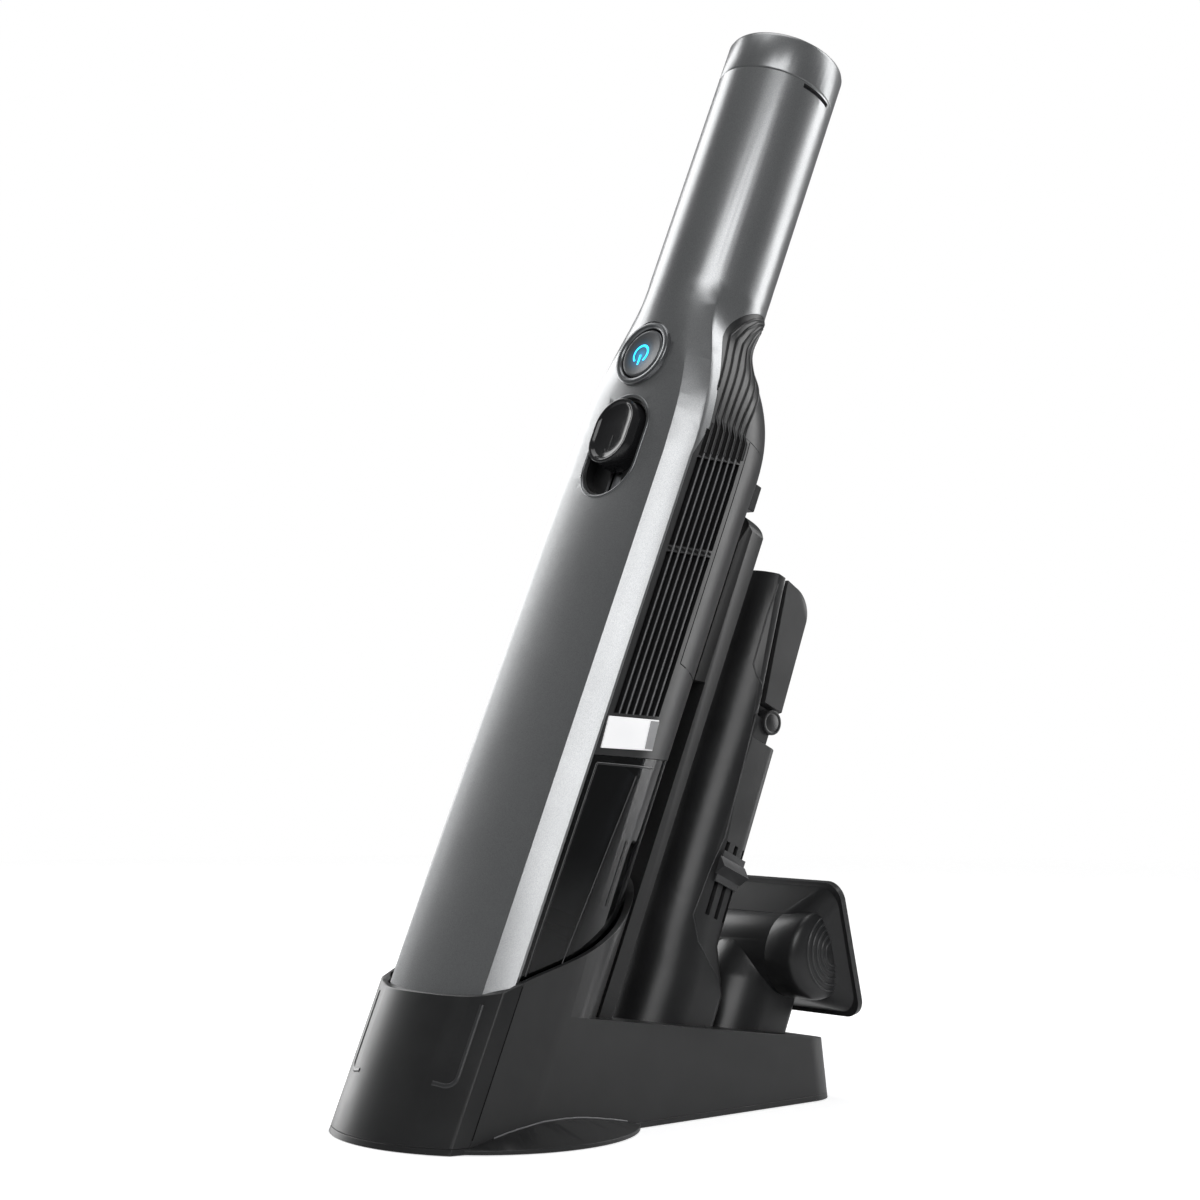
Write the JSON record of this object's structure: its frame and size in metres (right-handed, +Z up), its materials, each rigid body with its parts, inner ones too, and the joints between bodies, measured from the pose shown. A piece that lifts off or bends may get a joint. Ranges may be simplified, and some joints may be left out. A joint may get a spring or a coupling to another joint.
{
  "type": "handheld vacuum",
  "caption": "Slim cordless hand vacuum leaning nozzle-down in its charging dock, with smoked dust cup, slide-out battery, dirt ejector, crevice tool with brush and wide pet tool.",
  "frame": {"origin": "on the floor plane and the mirror plane, under the dock, 98 mm behind the dock's front edge and 100 mm in front of its rear edge", "axes": "+Z up, -Y towards the front of the dock, +X to the right seen from the front; the vacuum's axis leans 24 degrees from vertical towards +Y"},
  "size_m": [0.1046, 0.2237, 0.4042],
  "materials": {
    "gunmetal_paint": "fine-flake gunmetal paint under satin lacquer",
    "cap_paint": "fine-flake gunmetal paint under satin lacquer",
    "charcoal_plastic": "fine-textured charcoal moulding",
    "trim_ring": "satin dark trim",
    "button_plastic": "satin dark key with a lit symbol",
    "gloss_black": "polished black",
    "smoked_clear": "smoked transparent, polished",
    "badge_white": "blank satin white plate",
    "dock_plastic": "fine-textured charcoal moulding",
    "tool_plastic": "satin charcoal moulding",
    "tool_plastic_light": "satin charcoal moulding",
    "bristle_nylon": "nylon filament",
    "steel": "plain",
    "brass": "gold-flashed",
    "rubber": "soft, matt",
    "filter_felt": "pleated felt",
    "board": "solder-masked board",
    "inner_plastic": "plain moulding",
    "cell_wrap": "shrink wrap"
  },
  "bodies": {
    "dock": {"dock_front_shell": "dock_plastic", "dock_rear_shell": "dock_plastic", "dock_base_plate": "dock_plastic", "dock_spine": "dock_plastic", "cradle_tray": "dock_plastic", "tool_posts": "dock_plastic", "charge_pins": "brass", "pin_carrier": "dock_plastic", "dock_circuit_board": "board", "dc_jack": "steel", "dock_feet": "rubber", "dock_screws": "steel"},
    "vacuum": {"front_cover": "gunmetal_paint", "handle_back_strip": "charcoal_plastic", "side_housing": "charcoal_plastic", "rear_panel": "charcoal_plastic", "finger_grip": "charcoal_plastic", "vent_screens": "inner_plastic", "badge": "badge_white", "housing_screws": "steel", "power_button_ring": "trim_ring", "power_switch": "board", "slider_tray": "charcoal_plastic", "rod_guide": "charcoal_plastic", "ejector_spring": "steel", "dust_cup": "smoked_clear", "dust_door": "charcoal_plastic", "door_hinge_pin": "steel", "door_seal": "rubber", "door_latch": "charcoal_plastic", "charge_pads": "brass", "inlet_duct": "charcoal_plastic", "inlet_flap": "rubber", "filter_basket": "steel", "filter_frame": "charcoal_plastic", "washable_filter": "filter_felt", "motor_housing": "inner_plastic", "motor_can": "steel", "motor_mount": "rubber", "control_board": "board", "battery_terminal_block": "charcoal_plastic", "battery_terminals": "brass"},
    "power_button": {"power_button": "button_plastic"},
    "ejector": {"ejector_knob": "gloss_black", "ejector_push_rod": "steel"},
    "cup_release": {"cup_release_button": "charcoal_plastic"},
    "rotor": {"motor_shaft": "steel", "impeller": "inner_plastic"},
    "battery": {"battery_case": "inner_plastic", "battery_cells": "cell_wrap", "battery_end_cap": "cap_paint"},
    "crevice_tool": {"crevice_tube": "tool_plastic", "crevice_rear_cover": "tool_plastic_light", "arm_hinge_pin": "steel"},
    "brush_arm": {"brush_arm": "tool_plastic_light", "bristle_block": "tool_plastic", "brush_bristles": "bristle_nylon"},
    "relief_slider": {"relief_slider": "tool_plastic"},
    "pet_tool": {"pet_tool_shell": "tool_plastic", "pet_brush_strips": "bristle_nylon"}
  },
  "joints": [
    {"name": "vacuum_lift", "type": "slide", "parent": "dock", "child": "vacuum", "axis": [0, 0.4067, 0.9135], "range_m": [0, 0.25]},
    {"name": "power_press", "type": "slide", "parent": "vacuum", "child": "power_button", "axis": [0, 0.9135, -0.4067], "range_m": [0, 0.001], "stiffness_N_per_m": 600, "springref_m": -0.0005},
    {"name": "ejector_slide", "type": "slide", "parent": "vacuum", "child": "ejector", "axis": [0, -0.4067, -0.9135], "range_m": [0, 0.009], "stiffness_N_per_m": 150, "springref_m": -0.003, "deforming": ["ejector_spring"]},
    {"name": "cup_release_press", "type": "slide", "parent": "vacuum", "child": "cup_release", "axis": [0, -0.9135, 0.4067], "range_m": [0, 0.0015], "stiffness_N_per_m": 500, "springref_m": -0.0006},
    {"name": "motor_spin", "type": "hinge", "parent": "vacuum", "child": "rotor", "pos_m": [0, 0.01661, 0.16545], "axis": [0, 0.4067, 0.9135], "continuous": true},
    {"name": "battery_slide", "type": "slide", "parent": "vacuum", "child": "battery", "axis": [0, 0.4067, 0.9135], "range_m": [0, 0.1]},
    {"name": "crevice_tool_lift", "type": "slide", "parent": "dock", "child": "crevice_tool", "axis": [0, 0.4067, 0.9135], "range_m": [0, 0.09]},
    {"name": "brush_arm_swing", "type": "hinge", "parent": "crevice_tool", "child": "brush_arm", "pos_m": [0, 0.08054, 0.1394], "axis": [-1, 0, 0], "range_deg": [0, 95]},
    {"name": "relief_slide", "type": "slide", "parent": "crevice_tool", "child": "relief_slider", "axis": [0, 0.4067, 0.9135], "range_m": [0, 0.005]},
    {"name": "pet_tool_lift", "type": "slide", "parent": "dock", "child": "pet_tool", "axis": [0, 0.4067, 0.9135], "range_m": [0, 0.075]}
  ]
}
